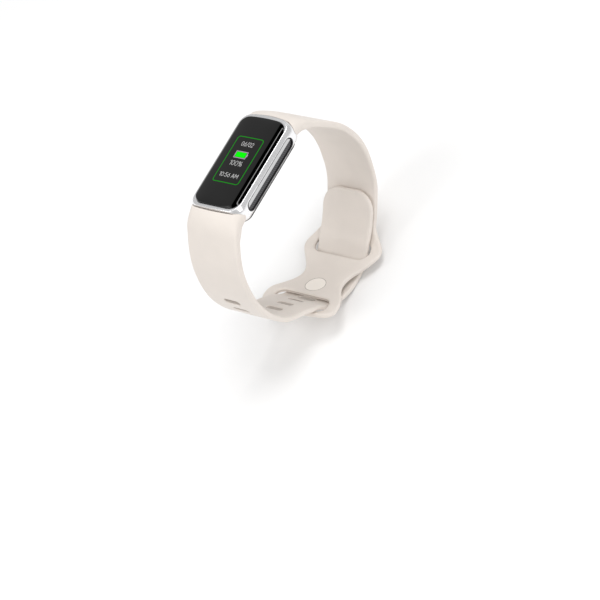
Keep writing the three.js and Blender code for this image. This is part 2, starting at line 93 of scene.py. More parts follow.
CAMERA_PLACE = (0.51268, -0.2969, 0.5376)
CAMERA_TURN = (0.66220, 0.45320, 0.55546)
CAMERA_LENS = 144.19


# ---- materials ------------------------------------------------------------------------
def material(name, color, rough, metal=0.0, noise=400.0, vary=0.03, bump=0.0,
             bump_scale=3000.0, coat=0.0, sheen=0.0, rough_vary=0.06, stretch=(1, 1, 1)):
    """Principled surface whose tone, gloss and fine relief come from noise."""
    made = bpy.data.materials.new(name)
    made.use_nodes = True
    nodes, links = made.node_tree.nodes, made.node_tree.links
    shader = nodes["Principled BSDF"]
    shader.inputs["Metallic"].default_value = metal
    shader.inputs["Coat Weight"].default_value = coat
    shader.inputs["Coat Roughness"].default_value = 0.05
    shader.inputs["Sheen Weight"].default_value = sheen
    where = nodes.new("ShaderNodeTexCoord")
    scale = nodes.new("ShaderNodeMapping")
    scale.inputs["Scale"].default_value = stretch
    links.new(where.outputs["Object"], scale.inputs["Vector"])
    tone = nodes.new("ShaderNodeTexNoise")
    tone.inputs["Scale"].default_value = noise
    tone.inputs["Detail"].default_value = 4
    links.new(scale.outputs["Vector"], tone.inputs["Vector"])
    ramp = nodes.new("ShaderNodeValToRGB")
    ramp.color_ramp.elements[0].position = 0.3
    ramp.color_ramp.elements[1].position = 0.7
    ramp.color_ramp.elements[0].color = [c * (1 - vary) for c in color] + [1]
    ramp.color_ramp.elements[1].color = [min(1, c * (1 + vary)) for c in color] + [1]
    links.new(tone.outputs["Fac"], ramp.inputs["Fac"])
    links.new(ramp.outputs["Color"], shader.inputs["Base Color"])
    gloss = nodes.new("ShaderNodeMapRange")
    gloss.inputs["To Min"].default_value = max(0.02, rough - rough_vary)
    gloss.inputs["To Max"].default_value = min(1, rough + rough_vary)
    links.new(tone.outputs["Fac"], gloss.inputs["Value"])
    links.new(gloss.outputs["Result"], shader.inputs["Roughness"])
    if bump:
        grain = nodes.new("ShaderNodeTexNoise")
        grain.inputs["Scale"].default_value = bump_scale
        grain.inputs["Detail"].default_value = 3
        links.new(scale.outputs["Vector"], grain.inputs["Vector"])
        relief = nodes.new("ShaderNodeBump")
        relief.inputs["Strength"].default_value = bump
        relief.inputs["Distance"].default_value = 0.00005
        links.new(grain.outputs["Fac"], relief.inputs["Height"])
        links.new(relief.outputs["Normal"], shader.inputs["Normal"])
    return made


def glowing(name, color, strength):
    """A lit display element: emission with a faint pixel-like variation."""
    made = material(name, [c * 0.03 for c in color], 0.4, noise=1500, vary=0.04)
    shader = made.node_tree.nodes["Principled BSDF"]
    shader.inputs["Specular IOR Level"].default_value = 0.05
    shader.inputs["Emission Color"].default_value = list(color) + [1]
    shader.inputs["Emission Strength"].default_value = strength
    return made


CREAM = material("band_silicone", (0.775, 0.712, 0.655), 0.58, noise=160, vary=0.018,
                 bump=0.25, bump_scale=5200, sheen=0.12)
PALE = material("peg_silicone", (0.95, 0.89, 0.82), 0.5, noise=260, vary=0.015,
                bump=0.18, bump_scale=5200, sheen=0.1)
# Darker cream for the walls of the strap's holes and slots: painted shade inside the openings.
HOLE_SHADE = material("hole_painted_shade", (0.54, 0.49, 0.445), 0.65, noise=160, vary=0.02)
# Dark beige for a thin ring round the peg's disc: painted shade along its joint with the bridge.
PEG_RING_SHADE = material("seam_shadow", (0.36, 0.32, 0.29), 0.7, noise=400, vary=0.1)
SILVER = material("case_aluminium", (0.90, 0.90, 0.91), 0.27, metal=1.0, noise=900,
                  vary=0.012, rough_vary=0.015)
STEEL = material("plain_steel", (0.56, 0.57, 0.58), 0.32, metal=1.0, noise=1200,
                 vary=0.05, bump=0.1, bump_scale=4000, stretch=(0.1, 1, 1))
BLACK = material("black_plastic", (0.018, 0.018, 0.02), 0.42, noise=800, vary=0.12,
                 bump=0.15, bump_scale=6000)
RUBBER = material("seal_rubber", (0.022, 0.022, 0.023), 0.75, noise=700, vary=0.15,
                  bump=0.2, bump_scale=5000)
WINDOW = material("sensor_window", (0.012, 0.012, 0.015), 0.08, noise=500, vary=0.2,
                  coat=0.5, rough_vary=0.02)
BOARD = material("circuit_board", (0.03, 0.13, 0.07), 0.45, noise=2200, vary=0.25,
                 bump=0.3, bump_scale=2500)
AMBER = material("polyimide", (0.55, 0.26, 0.06), 0.35, noise=900, vary=0.1, bump=0.08)
FOIL = material("battery_foil", (0.52, 0.53, 0.55), 0.38, metal=1.0, noise=300, vary=0.08,
                bump=0.5, bump_scale=900)
GOLD = material("gold_contact", (0.83, 0.62, 0.24), 0.22, metal=1.0, noise=1200, vary=0.05,
                bump=0.06)
LENS = material("led_lens", (0.72, 0.80, 0.66), 0.2, noise=1500, vary=0.06, coat=0.4)
DIE = material("sensor_die", (0.035, 0.028, 0.06), 0.18, noise=3000, vary=0.3, bump=0.1)


def glass_material():
    """Black glass: a faintly lit middle, blacker sides and a fine painted highlight line along them."""
    made = material("cover_glass", (0.010, 0.010, 0.011), 0.06, noise=300, vary=0.1,
                    rough_vary=0.02)
    nodes, links = made.node_tree.nodes, made.node_tree.links
    shader = nodes["Principled BSDF"]
    where = nodes.new("ShaderNodeTexCoord")
    parts = nodes.new("ShaderNodeSeparateXYZ")
    links.new(where.outputs["Object"], parts.inputs["Vector"])
    share = nodes.new("ShaderNodeMapRange")
    share.inputs["From Min"].default_value = -0.010
    share.inputs["From Max"].default_value = 0.010
    links.new(parts.outputs["X"], share.inputs["Value"])
    tone = nodes.new("ShaderNodeValToRGB")
    black, middle, painted_highlight = (0.0005,) * 3 + (1,), (0.005,) * 3 + (1,), (0.30,) * 3 + (1,)
    tone.color_ramp.elements[0].position = 0.012
    tone.color_ramp.elements[0].color = black
    tone.color_ramp.elements[1].position = 0.9635
    tone.color_ramp.elements[1].color = black
    # The pale bands near both side edges are painted highlights along the curved glass sides.
    for place, shade in ((0.016, painted_highlight), (0.030, painted_highlight), (0.060, middle), (0.880, middle),
                         (0.892, black), (0.9515, black), (0.9535, painted_highlight), (0.9585, painted_highlight)):
        tone.color_ramp.elements.new(place).color = shade
    links.new(share.outputs["Result"], tone.inputs["Fac"])
    links.new(tone.outputs["Color"], shader.inputs["Base Color"])
    shine = nodes.new("ShaderNodeMapRange")
    shine.inputs["From Min"].default_value = 0.880
    shine.inputs["From Max"].default_value = 0.892
    shine.inputs["To Min"].default_value = 0.36
    shine.inputs["To Max"].default_value = 0.0
    links.new(share.outputs["Result"], shine.inputs["Value"])
    links.new(shine.outputs["Result"], shader.inputs["Specular IOR Level"])
    return made


def electrode_material():
    """Polished steel above the middle line and a dark strip with ribbed relief below it: painted shade on
    the downward-leaning face.
    """
    made = material("electrode_steel", (0.58, 0.58, 0.585), 0.24, metal=1.0, noise=700,
                    vary=0.02, stretch=(1, 0.05, 1), rough_vary=0.03)
    nodes, links = made.node_tree.nodes, made.node_tree.links
    shader = nodes["Principled BSDF"]
    where = nodes.new("ShaderNodeTexCoord")
    parts = nodes.new("ShaderNodeSeparateXYZ")
    links.new(where.outputs["Object"], parts.inputs["Vector"])
    half = nodes.new("ShaderNodeMapRange")
    half.inputs["From Min"].default_value = ELECTRODE["crease"] * MM - 0.00005
    half.inputs["From Max"].default_value = ELECTRODE["crease"] * MM + 0.00005
    links.new(parts.outputs["Z"], half.inputs["Value"])
    ribs = nodes.new("ShaderNodeTexWave")
    ribs.bands_direction = "DIAGONAL"
    ribs.inputs["Scale"].default_value = 700
    links.new(where.outputs["Object"], ribs.inputs["Vector"])
    # Dark tones for the lower strip: painted shade below the crease, varied along the ribs.
    dark = nodes.new("ShaderNodeValToRGB")
    dark.color_ramp.elements[0].color = (0.035, 0.035, 0.038, 1)
    dark.color_ramp.elements[1].color = (0.11, 0.11, 0.115, 1)
    links.new(ribs.outputs["Fac"], dark.inputs["Fac"])
    tone = nodes["Color Ramp"]
    blend = nodes.new("ShaderNodeMix")
    blend.data_type = "RGBA"
    links.new(half.outputs["Result"], blend.inputs["Factor"])
    links.new(dark.outputs["Color"], blend.inputs["A"])
    links.new(tone.outputs["Color"], blend.inputs["B"])
    links.new(blend.outputs["Result"], shader.inputs["Base Color"])
    relief = nodes.new("ShaderNodeBump")
    relief.inputs["Strength"].default_value = 0.25
    relief.inputs["Distance"].default_value = 0.00005
    links.new(ribs.outputs["Fac"], relief.inputs["Height"])
    links.new(relief.outputs["Normal"], shader.inputs["Normal"])
    return made


GLASS_BLACK = glass_material()
POLISHED = electrode_material()
LIT_WHITE = glowing("display_white", (0.80, 0.80, 0.80), 0.8)
LIT_GREY = glowing("display_grey", (0.52, 0.45, 0.52), 0.8)
LIT_GREEN = glowing("display_green", (0.0, 0.95, 0.0), 1.0)
LIT_FRAME = glowing("display_frame", (0.010, 0.30, 0.010), 0.9)


# ---- mesh helpers ---------------------------------------------------------------------
def smooth(t):
    k = np.clip(t, 0, 1)
    return k * k * (3 - 2 * k)


def mesh_object(name, verts, faces, look, body="watch", weld=0.0):
    """A shaded mesh from millimetre points, riding on a body."""
    mesh = bpy.data.meshes.new(name)
    mesh.from_pydata([tuple(v) for v in np.asarray(verts) * MM], [], faces)
    mesh.validate()
    work = bmesh.new()
    work.from_mesh(mesh)
    if weld:
        bmesh.ops.remove_doubles(work, verts=work.verts, dist=weld * MM)
    loose = [v for v in work.verts if not v.link_faces]
    bmesh.ops.delete(work, geom=loose, context="VERTS")
    work.to_mesh(mesh)
    work.free()
    for face in mesh.polygons:
        face.use_smooth = True
    made = bpy.data.objects.new(name, mesh)
    bpy.context.scene.collection.objects.link(made)
    made.data.materials.append(look)
    if body:
        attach(made, body)
    return made


def sharpen(made, angle=40):
    """Marks the edges that turn by more than the angle as sharp."""
    work = bmesh.new()
    work.from_mesh(made.data)
    for edge in work.edges:
        if len(edge.link_faces) == 2 and edge.calc_face_angle(0) > math.radians(angle):
            edge.smooth = False
    work.to_mesh(made.data)
    work.free()
    return made


def shift_in(loop, distance):
    """The closed loop moved towards its left by a distance for each point."""
    before, after = np.roll(loop, 1, 0), np.roll(loop, -1, 0)
    first, second = loop - before, after - loop
    first /= np.linalg.norm(first, axis=1)[:, None] + 1e-12
    second /= np.linalg.norm(second, axis=1)[:, None] + 1e-12
    left1 = np.stack([-first[:, 1], first[:, 0]], 1)
    left2 = np.stack([-second[:, 1], second[:, 0]], 1)
    spread = 1 + np.sum(left1 * left2, 1)
    step = (left1 + left2) / np.maximum(spread, 0.35)[:, None]
    return loop + step * np.reshape(distance, (-1, 1))


def inside(points, loops):
    """Even-odd test of points against closed loops."""
    hit = np.zeros(len(points), bool)
    for loop in loops:
        a, b = loop, np.roll(loop, -1, 0)
        for (x0, y0), (x1, y1) in zip(a, b):
            cross = (y0 > points[:, 1]) != (y1 > points[:, 1])
            if abs(y1 - y0) > 1e-12:
                at = x0 + (points[:, 1] - y0) * (x1 - x0) / (y1 - y0)
                hit ^= cross & (points[:, 0] < at)
    return hit


def plan_sheet(loops, spacing):
    """Flat mesh between loops: rows of quads along each loop and triangles between.

    Each loop is (points, steps, radius): steps are shares of its edge radius. Returns the
    points, their share (1 away from edges) and radius, the faces and each loop's indices.
    """
    points, share, radius, faces, outer, inner = [], [], [], [], [], []
    count = 0
    for loop, steps, edge in loops:
        edge = np.broadcast_to(edge, (len(loop),))
        rings = [shift_in(loop, f * edge) if f else loop for f in steps]
        size = len(loop)
        for j, ring in enumerate(rings):
            points.append(ring)
            share.append(np.full(size, steps[j]))
            radius.append(edge)
            if j:
                low = count + (j - 1) * size
                for i in range(size):
                    k = (i + 1) % size
                    faces.append((low + i, low + k, low + size + k, low + size + i))
        outer.append(np.arange(size) + count)
        inner.append(np.arange(size) + count + (len(rings) - 1) * size)
        count += size * len(rings)
    ringed = np.concatenate(points)
    borders = [ringed[i] for i in inner]
    lo, hi = borders[0].min(0), borders[0].max(0)
    xs = np.arange(lo[0] + spacing / 2, hi[0], spacing)
    ys = np.arange(lo[1] + spacing / 2, hi[1], spacing * 0.87)
    grid = np.array([(x + (spacing / 2 if row % 2 else 0), y)
                     for row, y in enumerate(ys) for x in xs])
    grid = grid[inside(grid, borders)]
    edge_points = np.concatenate(borders)
    near = np.array([np.min(np.sum((edge_points - g) ** 2, 1)) for g in grid])
    grid = grid[near > (0.55 * spacing) ** 2]
    known = np.concatenate(inner)
    cloud = np.concatenate([edge_points, grid])
    edges, start = [], 0
    for ring in inner:
        size = len(ring)
        edges += [(start + i, start + (i + 1) % size) for i in range(size)]
        start += size
    out = flat.delaunay_2d_cdt([Vector(c) for c in cloud], edges, [], 0, 1e-7)
    index = np.concatenate([known, np.arange(len(grid)) + count])
    assert all(out[3]), "the rows along a loop cross each other"
    back = [index[origin[0]] for origin in out[3]]
    coords = np.array([tuple(c) for c in out[0]])
    centres = np.array([coords[list(f)].mean(0) for f in out[2]])
    keep = inside(centres, borders)
    faces += [tuple(int(back[v]) for v in f) for f, k in zip(out[2], keep) if k]
    points.append(grid)
    share.append(np.ones(len(grid)))
    radius.append(np.zeros(len(grid)))
    return (np.concatenate(points), np.concatenate(share), np.concatenate(radius), faces,
            outer)


def rounded_ring(hx, hy, r, steps=10):
    ring = []
    for cx, cy, quarter in ((hx - r, hy - r, 0), (r - hx, hy - r, 1), (r - hx, r - hy, 2),
                            (hx - r, r - hy, 3)):
        for i in range(steps + 1):
            angle = (quarter + i / steps) * math.pi / 2
            ring.append((cx + r * math.cos(angle), cy + r * math.sin(angle)))
    return np.array(ring)


def resample(loop, pitch):
    """The closed loop with extra points so that no side is longer than the pitch."""
    out = []
    for a, b in zip(loop, np.roll(loop, -1, 0)):
        parts = max(1, int(math.ceil(np.linalg.norm(b - a) / pitch)))
        out += [a + (b - a) * i / parts for i in range(parts)]
    return np.array(out)


def tidy(loop, gap=0.12):
    """The closed loop without points that almost coincide."""
    return loop[np.linalg.norm(loop - np.roll(loop, 1, 0), axis=1) > gap]


def pill(wide, long, cx=0.0, cy=0.0, steps=8, pitch=0.5):
    ring = tidy(rounded_ring(wide / 2, long / 2, min(wide, long) / 2, steps), 0.001)
    return resample(ring, pitch) + (cx, cy)


# ---- band line ------------------------------------------------------------------------
def spline(points, samples):
    """Centripetal Catmull-Rom through the points, as the CAD's curve is."""
    pts = np.array(points, float)
    pts = np.vstack([2 * pts[0] - pts[1], pts, 2 * pts[-1] - pts[-2]])
    out = []
    for u in np.linspace(0, len(points) - 1, samples):
        i = min(int(u), len(points) - 2)
        t = u - i
        p0, p1, p2, p3 = pts[i:i + 4]
        d0, d1, d2 = (np.sum((b - a) ** 2) ** 0.25 for a, b in
                      ((p0, p1), (p1, p2), (p2, p3)))
        m1 = ((p1 - p0) / d0 - (p2 - p0) / (d0 + d1) + (p2 - p1) / d1) * d1
        m2 = ((p2 - p1) / d1 - (p3 - p1) / (d1 + d2) + (p3 - p2) / d2) * d1
        out.append(p1 + m1 * t + (-3 * p1 + 3 * p2 - 2 * m1 - m2) * t ** 2
                   + (2 * p1 - 2 * p2 + m1 + m2) * t ** 3)
    return np.array(out)


LINE = spline(BAND_LINE, 6001)
LINE_S = np.concatenate([[0], np.cumsum(np.linalg.norm(np.diff(LINE, axis=0), axis=1))])
LINE_T = np.gradient(LINE, LINE_S, axis=0)
BAND_LENGTH = LINE_S[-1]


def arc_at(y, z):
    return LINE_S[np.argmin(np.sum((LINE - (y, z)) ** 2, 1))]


BRIDGE_TOP, BRIDGE_LOW = arc_at(8.6, -57.2), arc_at(-11.4, -53.0)
SLOT_TOP, SLOT_LOW = BRIDGE_TOP - SLOT_LONG / 2, BRIDGE_LOW + SLOT_LONG / 2
CLASP_END = SLOT_LOW + SLOT_LONG / 2 + END_BAR
PEG_AT = arc_at(-6.3, -55.4)
TAIL_ROOT = BRIDGE_TOP - SLOT_LONG - 0.5
TAIL_END = TAIL_ROOT - TAIL_LENGTH


def weave_at(s):
    top = smooth((s - SLOT_TOP) / 8 + 0.5)
    low = smooth((s - SLOT_LOW) / 8 + 0.5)
    return (WEAVE * (1 - 2 * top + 2 * low) * smooth((s - TAIL_END + 12) / 12)
            * smooth((CLASP_END + 14 - s) / 12))


def swell_at(s):
    """How far the holed half stands off the bridge between the two loops."""
    share = np.clip((s - SLOT_TOP) / (SLOT_LOW - SLOT_TOP), 0, 1)
    return SWELL * np.sin(math.pi * share) ** 2


def near_end(s):
    return np.minimum(s, BAND_LENGTH - s)


def thick_at(s):
    near = near_end(s)
    root = 5.0 - 2.7 * smooth((near - 2.5) / 8) ** 0.8
    return root - (2.3 - THIN) * smooth((near - 30) / 25)


def crown_at(x, s):
    """How far the outer face rises towards its middle near the case."""
    arch = np.maximum(0, 1 - (x / BAND_HALF) ** 2)
    return CROWN * arch * (1 - smooth((near_end(s) - 2.5) / 15))


def plain_half(s):
    return BAND_HALF + 0.25 * (1 - smooth(near_end(s) / 4))


def on_band(x, s, n):
    """Point at x across, s along and n outwards from the band line."""
    y, z = np.interp(s, LINE_S, LINE[:, 0]), np.interp(s, LINE_S, LINE[:, 1])
    ty, tz = np.interp(s, LINE_S, LINE_T[:, 0]), np.interp(s, LINE_S, LINE_T[:, 1])
    lean = smooth(near_end(s) / 9)
    oy, oz = -tz * lean, ty * lean + (1 - lean)
    size = np.hypot(oy, oz)
    return np.stack([x, y + n * oy / size, z + n * oz / size], 1)


EDGE_STEPS = (0, 0.01, 0.04, 0.1, 0.2, 0.34, 0.52, 0.75, 1.0)
HOLE_STEPS = (0, 0.05, 0.2, 0.5, 1.0)


def edge_radius(s):
    return 0.12 + 0.66 * smooth((near_end(s) - 0.4) / 3)


def rounded_drop(share):
    """Share of the edge radius that the surface has fallen, 1 at the edge itself."""
    return 1 - np.sqrt(np.clip(1 - (1 - share) ** 2, 0, 1))


def shoulder_drop(x, s):
    """How far the strap's face falls towards its sides near the case."""
    near = near_end(s)
    big = np.minimum(2.3, thick_at(s) / 2 - 0.1) * (1 - smooth((near - 3) / 9)) + 1e-6
    deep = np.clip(1 - (plain_half(s) - np.abs(x)) / big, 0, 1)
    return big * (1 - np.sqrt(1 - deep ** 2)) * (near < 12)


def band_piece(name, outline, holes, pads, offset, root_points):
    """A strap with rounded edges: outline and holes in the flat, then wrapped on the line."""
    edges = edge_radius(outline[:, 1])
    edges = np.where(root_points, 0.1, edges)
    loops = [(outline, EDGE_STEPS, edges)]
    loops += [(ring[::-1], HOLE_STEPS, radius) for ring, radius in holes]
    verts, faces = [], []

    def sheet(side, extra):
        pts, share, radius, quads, rims = plan_sheet(loops + extra, 0.95)
        half = thick_at(pts[:, 1]) / 2
        drop = radius * rounded_drop(share)
        drop = np.maximum(drop, shoulder_drop(pts[:, 0], pts[:, 1]))
        n = side * (half - drop) + offset(pts[:, 1])
        if side > 0:
            n += crown_at(pts[:, 0], pts[:, 1])
        start = sum(len(v) for v in verts)
        verts.append(on_band(pts[:, 0], pts[:, 1], n))
        for f in quads:
            faces.append(tuple(start + v for v in (f if side > 0 else f[::-1])))
        return [rim + start for rim in rims]

    top = sheet(1, [])
    low = sheet(-1, [(ring[::-1], (0, 1.0), 0.15) for ring in pads])
    shaded_walls = []
    for ring, (a, b) in enumerate(zip(top, low)):
        size = len(a)
        for i in range(size):
            k = (i + 1) % size
            if ring > 0:
                shaded_walls.append(len(faces))
            faces.append((int(b[i]), int(b[k]), int(a[k]), int(a[i])))
    placed = np.concatenate(verts)
    for rim, ring in zip(low[len(loops):], pads):
        start = len(placed)
        roof = placed[rim] + (0, 0, 2.2)
        placed = np.concatenate([placed, roof])
        size = len(rim)
        for i in range(size):
            k = (i + 1) % size
            faces.append((start + i, start + k, int(rim[k]), int(rim[i])))
        faces.append(tuple(range(start + size - 1, start - 1, -1)))
    made = mesh_object(name, fit_to_case(placed), faces, CREAM, body=None)
    # The hole and slot walls get the darker cream, painted shade inside the openings.
    made.data.materials.append(HOLE_SHADE)
    for index in shaded_walls:
        made.data.polygons[index].material_index = 1
    return made


# ---- case outline ---------------------------------------------------------------------
LEVEL = np.array(CASE_LEVELS)


def bowed(x, y):
    """The case's ends bow outwards, most at the middle of its width."""
    return y * (1 + BOW * (1 - (x / CASE_HALF) ** 2))


def level_at(z):
    """Half width, half length and corner radius of the case at a height."""
    knots = LEVEL[:, 0]
    out = []
    for column in (1, 2, 3):
        slope = np.gradient(LEVEL[:, column], knots)
        i = np.clip(np.searchsorted(knots, z) - 1, 0, len(knots) - 2)
        gap = knots[i + 1] - knots[i]
        t = np.clip((z - knots[i]) / gap, 0, 1)
        a, b = LEVEL[i, column], LEVEL[i + 1, column]
        out.append(a * (1 + 2 * t) * (1 - t) ** 2 + b * t * t * (3 - 2 * t)
                   + gap * (slope[i] * t * (1 - t) ** 2 - slope[i + 1] * t * t * (1 - t)))
    return out


def case_end(x, z):
    """How far along Y the case's end reaches at x and z."""
    hx, hy, r = level_at(z)
    over = np.clip(np.abs(x) - (hx - r), 0, r)
    return bowed(x, hy - r + np.sqrt(np.maximum(r * r - over * over, 0)))


def fit_to_case(verts):
    """The strap's root follows the case's end face, with a hairline gap."""
    x, y, z = verts.T
    side = np.sign(y)
    wall = case_end(x, np.clip(z, 2.9, 10.4)) + ROOT_GAP
    mid = case_end(x, np.full_like(z, ROOT_LEVEL)) + ROOT_GAP
    reach = np.abs(y) - mid
    near = (np.abs(y) < 21) & (z > 2) & (reach < 2.5)
    pull = (wall - mid) * (1 - smooth(reach / 2.5))
    out = verts.copy()
    out[:, 1] = np.where(near, y + side * pull, y)
    return out


def root_line(x, far):
    """Arc position where the band's root meets the case's end, at x across."""
    want = case_end(x, np.full_like(x, ROOT_LEVEL)) + ROOT_GAP
    half = LINE_S < BAND_LENGTH / 2
    near_y, near_s = LINE[half][:800, 0], LINE_S[half][:800]
    s = np.interp(want, near_y, near_s)
    return BAND_LENGTH - s if far else s


# ---- band -----------------------------------------------------------------------------
def clasp_half(s):
    shoulder = plain_half(s) + (LOOP_HALF - BAND_HALF) * smooth((s - SLOT_TOP + 10) / 10)
    swing = 0.5 + 0.5 * np.cos((s - SLOT_TOP) / (SLOT_LOW - SLOT_TOP) * 2 * math.pi)
    waist = WAIST_HALF + (LOOP_HALF - WAIST_HALF) * swing
    return np.where(s < SLOT_TOP, shoulder, waist)


def upper_outline():
    across = np.linspace(-11.25, 11.25, 46)
    root = np.stack([across, root_line(across, False)], 1)
    up = np.arange(root[-1, 1] + 0.45, SLOT_LOW, 0.5)
    right = np.stack([clasp_half(up), up], 1)
    turn = np.linspace(0, math.pi, 61)
    reach = CLASP_END - SLOT_LOW
    power = 2 / 2.4
    cap = np.stack([
        LOOP_HALF * np.sign(np.cos(turn)) * np.abs(np.cos(turn)) ** power,
        SLOT_LOW + reach * np.abs(np.sin(turn)) ** power], 1)
    left = np.stack([-clasp_half(up), up], 1)[::-1]
    outline = np.concatenate([root, right, cap, left])
    outline = tidy(outline)
    return outline, is_root(outline, False)


def lower_outline():
    across = np.linspace(11.25, -11.25, 46)
    root = np.stack([across, root_line(across, True)], 1)
    corner = TAIL_CORNER
    turn = np.linspace(0, math.pi / 2, 16)
    arc_x = BAND_HALF - corner + corner * np.sin(turn)
    arc_s = TAIL_END + corner - corner * np.cos(turn)
    straight = np.arange(-3.0, 3.1, 0.5)
    end = np.stack([straight, np.full_like(straight, TAIL_END)], 1)
    right_arc = np.stack([arc_x, arc_s], 1)
    up = np.arange(TAIL_END + corner + 0.5, root[0, 1] - 0.3, 0.5)
    right = np.stack([plain_half(up), up], 1)
    left = right[::-1] * (-1, 1)
    left_arc = right_arc[::-1] * (-1, 1)
    outline = tidy(np.concatenate([end, right_arc, right, root, left, left_arc]))
    return outline, is_root(outline, True)


def is_root(outline, far):
    s = near_end(outline[:, 1])
    line = near_end(root_line(outline[:, 0], far))
    return (np.abs(s - line) < 0.02) & (np.abs(outline[:, 0]) < 11.2)


def pad_loop(far):
    """The opening for the quick-release button under the strap's root."""
    lo, hi = 20.1, 22.1
    half = LINE_S < BAND_LENGTH / 2
    s0, s1 = np.interp([lo, hi], LINE[half][:1200, 0], LINE_S[half][:1200])
    if far:
        s0, s1 = BAND_LENGTH - s1, BAND_LENGTH - s0
    ring = rounded_ring(2.8, (s1 - s0) / 2, 0.35, 4)
    return resample(ring, 0.4) + (0, (s0 + s1) / 2)


upper_line, upper_root = upper_outline()
slot_rings = [(pill(SLOT_WIDE, SLOT_LONG, 0, s, 14, 0.45), 0.68) for s in
              (SLOT_TOP, SLOT_LOW)]
upper = band_piece("band_looped", upper_line, slot_rings, [pad_loop(False)], weave_at,
                   upper_root)
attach(upper, "watch")
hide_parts("upper_strap")

lower_line, lower_root = lower_outline()
hole_rings = [(pill(HOLE_WIDE, HOLE_LONG, 0, PEG_AT + k * HOLE_PITCH, 7, 0.4), 0.28)
              for k in range(HOLE_COUNT)]
lower = band_piece("band_holed", lower_line, hole_rings, [pad_loop(True)],
                   lambda s: swell_at(s) - weave_at(s), lower_root)
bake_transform(lower)
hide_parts("lower_strap", "strap_tail")
for piece in (upper, lower):
    sharpen(piece, 50)


# ---- peg ------------------------------------------------------------------------------
def button_on_band(ring, low, high, dome, radius):
    """A rounded stud top standing on the band at the peg, with its side wall."""
    pts, share, _, quads, rims = plan_sheet([(ring, EDGE_STEPS, radius)], 0.5)
    lift = radius * rounded_drop(share)
    far = np.sum((pts / ring.max(0)) ** 2, 1)
    n = high - np.sign(high - low) * (lift + dome * np.clip(far, 0, 1))
    verts = np.concatenate([
        on_band(pts[:, 0], pts[:, 1] + PEG_AT, n),
        on_band(ring[:, 0], ring[:, 1] + PEG_AT, np.full(len(ring), low))])
    up = high > low
    faces = [tuple(f if up else f[::-1]) for f in quads]
    start, size = len(pts), len(ring)
    for i in range(size):
        k = (i + 1) % size
        wall = (start + i, start + k, int(rims[0][k]), int(rims[0][i]))
        faces.append(wall if up else wall[::-1])
    base = tuple(range(start, start + size))
    faces.append(base[::-1] if up else base)
    return verts, faces


def merge(shapes):
    verts, faces, start = [], [], 0
    for v, f in shapes:
        verts.append(v)
        faces += [tuple(start + i for i in face) for face in f]
        start += len(v)
    return np.concatenate(verts), faces


bridge = -WEAVE - THIN / 2
rise = swell_at(PEG_AT)
peg_parts = merge([
    button_on_band(pill(2 * PEG_DISC, 2 * PEG_DISC, steps=14), bridge + 0.75, bridge - 0.05,
                   0.05, 0.12),
    button_on_band(pill(6.2, 1.7, steps=8, pitch=0.4), bridge + 0.5, 2.6 + rise, 0.0, 0.1),
    button_on_band(pill(*PEG_HEAD, steps=10), 2.15 + rise, 3.1 + rise, 0.12, 0.38)])
peg = sharpen(mesh_object("peg_stud", *peg_parts, PALE), 50)
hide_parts("peg")
# A thin dark ring just proud of the bridge round the peg's disc: painted shade along the joint.
shade_ring = pill(2 * PEG_DISC + 0.22, 2 * PEG_DISC + 0.22, steps=14)
shade_ring_inner = shift_in(shade_ring, np.full(len(shade_ring), 0.16))
shade_ring_size = len(shade_ring)
shade_ring_verts = np.concatenate([
    on_band(ring[:, 0], ring[:, 1] + PEG_AT, np.full(shade_ring_size, n))
    for ring, n in ((shade_ring, bridge + 0.1), (shade_ring, bridge - 0.012), (shade_ring_inner, bridge - 0.012),
                    (shade_ring_inner, bridge + 0.1))])
shade_ring_faces = [(j * shade_ring_size + (i + 1) % shade_ring_size, j * shade_ring_size + i,
               (j + 1) % 4 * shade_ring_size + i, (j + 1) % 4 * shade_ring_size + (i + 1) % shade_ring_size)
              for j in range(4) for i in range(shade_ring_size)]
mesh_object("peg_ring_shade", shade_ring_verts, shade_ring_faces, PEG_RING_SHADE)


# ---- case -----------------------------------------------------------------------------
def rim_height(x):
    return RIM_TOP - RIM_DROP * (x / GLASS["hx"]) ** 2


MID_X, MID_Y, MID_R = CASE_HALF, 18.4, 2.4
SIDE_HALF, END_HALF = MID_Y - MID_R, MID_X - MID_R
ARC = MID_R * math.pi / 2
PERIMETER = 4 * (SIDE_HALF + END_HALF) + 4 * ARC


def around(p, hx, hy, r):
    """Point on a rounded rectangle: p runs counterclockwise from the middle of -Y."""
    p = np.mod(p, PERIMETER)
    spans = [END_HALF, ARC, 2 * SIDE_HALF, ARC, 2 * END_HALF, ARC, 2 * SIDE_HALF, ARC,
             END_HALF]
    ends = np.cumsum(spans)
    k = np.minimum(np.searchsorted(ends, p, side="right"), 8)
    t = (p - np.concatenate([[0], ends])[k]) / np.array(spans)[k]
    ex, ey = hx - r, hy - r
    a = t * math.pi / 2
    c, s = r * np.cos(a), r * np.sin(a)
    choices_x = [t * ex, ex + s, ex + r, ex + c, ex - 2 * ex * t, -ex - s, -ex - r,
                 -ex - c, -ex + ex * t]
    choices_y = [-ey - r, -ey - c, -ey + 2 * ey * t, ey + s, ey + r, ey + c,
                 ey - 2 * ey * t, -ey - s, -ey - r]
    x = np.choose(k, [np.broadcast_to(v, p.shape) for v in choices_x])
    y = np.choose(k, [np.broadcast_to(v, p.shape) for v in choices_y])
    return x, bowed(x, y)


CASE_LOW, CASE_SPAN, RIM_ROUND = 2.9, 8.0, 0.12


def case_height(p, q):
    """Height for the chart's q, which runs from the lower edge to the rim."""
    x, _ = around(p, *[np.broadcast_to(v, p.shape) for v in level_at(np.full_like(p, 9.9))])
    top = rim_height(x) - RIM_ROUND
    above = 7.9
    z = q + CASE_LOW
    limit = CASE_LOW + CASE_SPAN
    stretch = (top - above) / (limit - above)
    return np.where(z > above, above + (z - above) * stretch, z)


